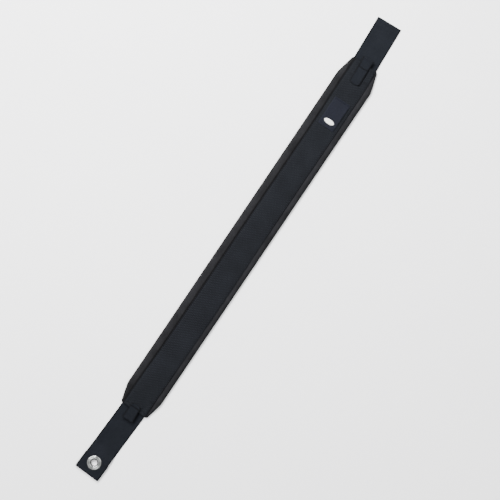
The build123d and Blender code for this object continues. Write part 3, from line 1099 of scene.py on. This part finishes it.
def mark_lines():
    """The oval's threads, one for each line along its width."""
    middle = ((mark_low.x + mark_high.x) / 2, (mark_low.y + mark_high.y) / 2)
    half_x, half_y = (mark_high.x - mark_low.x) * 0.42, (mark_high.y - mark_low.y) * 0.48
    lines = []
    for y in stations(-half_y + 0.18, half_y - 0.18, 0.36):  # 0.36 from one thread to the next
        reach = half_x * sqrt(max(0.0, 1 - (y / half_y) ** 2))
        if reach < 0.5:
            continue
        xs = stations(middle[0] - reach, middle[0] + reach, 1.5)
        lines.append([(x, middle[1] + y, label_height(x, middle[1] + y) + 0.42) for x in xs])
    return lines


def satin(name, lines, body, nodes):
    """Raised close threads, one tapering tube for each line."""
    points, faces = [], []
    around = 6
    for line in lines:
        first = len(points)
        for k, (x, y, z) in enumerate(line):
            share = k / (len(line) - 1)
            radius, rise = 0.1, -0.15
            if 0 < share < 1:
                radius = 0.24 * (0.45 + 0.55 * sin(pi * share) ** 0.5)
                rise = 0.22 * sin(pi * share) ** 0.6
            for turn in range(around):
                a = 2 * pi * turn / around
                points.append(Vector((x, y + radius * cos(a), z + rise + radius * sin(a))) * MM)
        for k in range(len(line) - 1):
            for turn in range(around):
                after = (turn + 1) % around
                low, high = first + k * around, first + (k + 1) * around
                faces.append((low + turn, low + after, high + after, high + turn))
        faces.append(tuple(first + turn for turn in range(around)))
        last = first + (len(line) - 1) * around
        faces.append(tuple(last + turn for turn in reversed(range(around))))
    mesh = bpy.data.meshes.new(name)
    mesh.from_pydata(points, [], faces)
    close_skin(mesh, 60)
    piece = piece_from(name, mesh)
    finish(piece, white_thread, "mark_thread")
    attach(piece, body)
    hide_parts(*nodes)


# ---- Putting the strap together ------------------------------------------------------------------
cover = make_pad_cover()
make_lining()
panel = make_panel()
make_plain_tail()
make_eyelet_tail()
make_eyelet_barrel()
finish_washer()
plain_layer = make_tab(
    "plain_tab_strip", plain_tab_fold, root=34.0, tip=3.4, tip_lift=1.6,
    nodes=("plain_tab_root", "plain_tab_tip"), seed=61,
)
eyelet_layer = make_tab(
    "eyelet_tab_strip", eyelet_tab_fold, root=9.0, tip=11.4, tip_lift=-1.0,
    nodes=("eyelet_tab_root", "eyelet_tab_tip"), seed=63,
)
make_label()

sew("left_panel_stitches", [panel_seam_line(1)], "pad", ["left_panel_seam"], 2)
sew("right_panel_stitches", [panel_seam_line(-1)], "pad", ["right_panel_seam"], 3, length=3.0)
sew(
    "edge_stitches", [edge_seam_line(1), edge_seam_line(-1)], "pad", ["edge_seam"], 4,
    pitch=2.4, length=2.2, width=0.4,
)
sew(
    "plain_anchor_stitches", anchor_lines(PLAIN_END, -1), "pad", ["plain_anchor_thread"], 5,
    pitch=1.6, length=1.4,
)
sew(
    "eyelet_anchor_stitches", anchor_lines(EYELET_END, 1), "pad", ["eyelet_anchor_thread"], 6,
    pitch=1.6, length=1.4,
)
sew(
    "plain_tack_stitches", [tack_line(plain_tab_fold, plain_layer, 8.0, 1.2)], "pad",
    ["plain_tab_tack"], 7, pitch=0.5, length=1.7, width=0.5, height=0.4, turn=90,
)
sew(
    "eyelet_tack_stitches", [tack_line(eyelet_tab_fold, eyelet_layer, 4.5, 0.6)], "pad",
    ["eyelet_tab_tack"], 8, pitch=0.5, length=1.7, width=0.5, height=0.4, turn=90,
)
sew("hem_stitches", hem_lines(), "eyelet_tail", ["hem_thread"], 9, pitch=1.7, length=1.5, width=0.65)
sew(
    "label_stitches", label_lines(), "pad", ["label_thread"], 10,
    pitch=1.3, length=1.15, width=0.4, height=0.3,
)
satin("label_oval", mark_lines(), "pad", ["label_mark"])


# ---- Floor, lights and camera --------------------------------------------------------------------
def make_floor():
    mesh = bpy.data.meshes.new("floor")
    reach = 9.0
    points = [(-reach, -reach, 0), (reach, -reach, 0), (reach, reach, 0), (-reach, reach, 0)]
    mesh.from_pydata(points, [], [(0, 1, 2, 3)])
    ground = piece_from("floor", mesh)
    mesh.materials.append(floor_finish)


VIEW_TURN = -56.0  # the camera's turn about the vertical
VIEW_RIGHT = Vector((cos(radians(VIEW_TURN)), sin(radians(VIEW_TURN)), 0))
VIEW_UP = Vector((-VIEW_RIGHT.y, VIEW_RIGHT.x, 0))
VIEW_MIDDLE = Vector((0.0076, -0.0107, 0))
VIEW_WIDTH = 0.7395  # of the floor, in metres


def area_light(name, right, up, height, size, power):
    """A round light, placed by the camera's right and up, that faces the strap's middle."""
    data = bpy.data.lights.new(name, "AREA")
    data.shape = "DISK"
    data.size = size
    data.energy = power
    light = bpy.data.objects.new(name, data)
    scene.collection.objects.link(light)
    light.location = VIEW_RIGHT * right + VIEW_UP * up + Vector((0, 0, height))
    light.rotation_euler = (-light.location).to_track_quat("-Z", "Y").to_euler()


def make_light():
    area_light("window", -1.2, 0.85, 1.9, 1.6, 100.0)
    area_light("skylight", -0.22, 0.98, 1.05, 0.45, 42.0)
    area_light("bounce", 1.4, 0.5, 1.9, 1.6, 32.0)
    world = bpy.data.worlds.new("room")  # grey below, white overhead
    scene.world = world
    world.use_nodes = True
    nodes, links = world.node_tree.nodes, world.node_tree.links
    ways = nodes.new("ShaderNodeTexCoord")
    split = nodes.new("ShaderNodeSeparateXYZ")
    ceiling = nodes.new("ShaderNodeValToRGB")
    ceiling.color_ramp.elements[0].position = 0.15
    ceiling.color_ramp.elements[0].color = (0.16, 0.16, 0.17, 1.0)
    ceiling.color_ramp.elements[1].position = 0.95
    ceiling.color_ramp.elements[1].color = (1.0, 1.0, 1.0, 1.0)
    links.new(ways.outputs["Generated"], split.inputs[0])
    links.new(split.outputs[2], ceiling.inputs[0])
    links.new(ceiling.outputs[0], nodes["Background"].inputs[0])
    nodes["Background"].inputs[1].default_value = 1.45


def make_camera():
    data = bpy.data.cameras.new("camera")
    data.sensor_width = 36
    data.lens = 100
    camera = bpy.data.objects.new("camera", data)
    scene.collection.objects.link(camera)
    distance = VIEW_WIDTH / 2 / (data.sensor_width / 2 / data.lens)
    camera.location = VIEW_MIDDLE + Vector((0, 0, distance))
    camera.rotation_euler = (0, 0, radians(VIEW_TURN))
    scene.camera = camera


make_floor()
make_light()
make_camera()
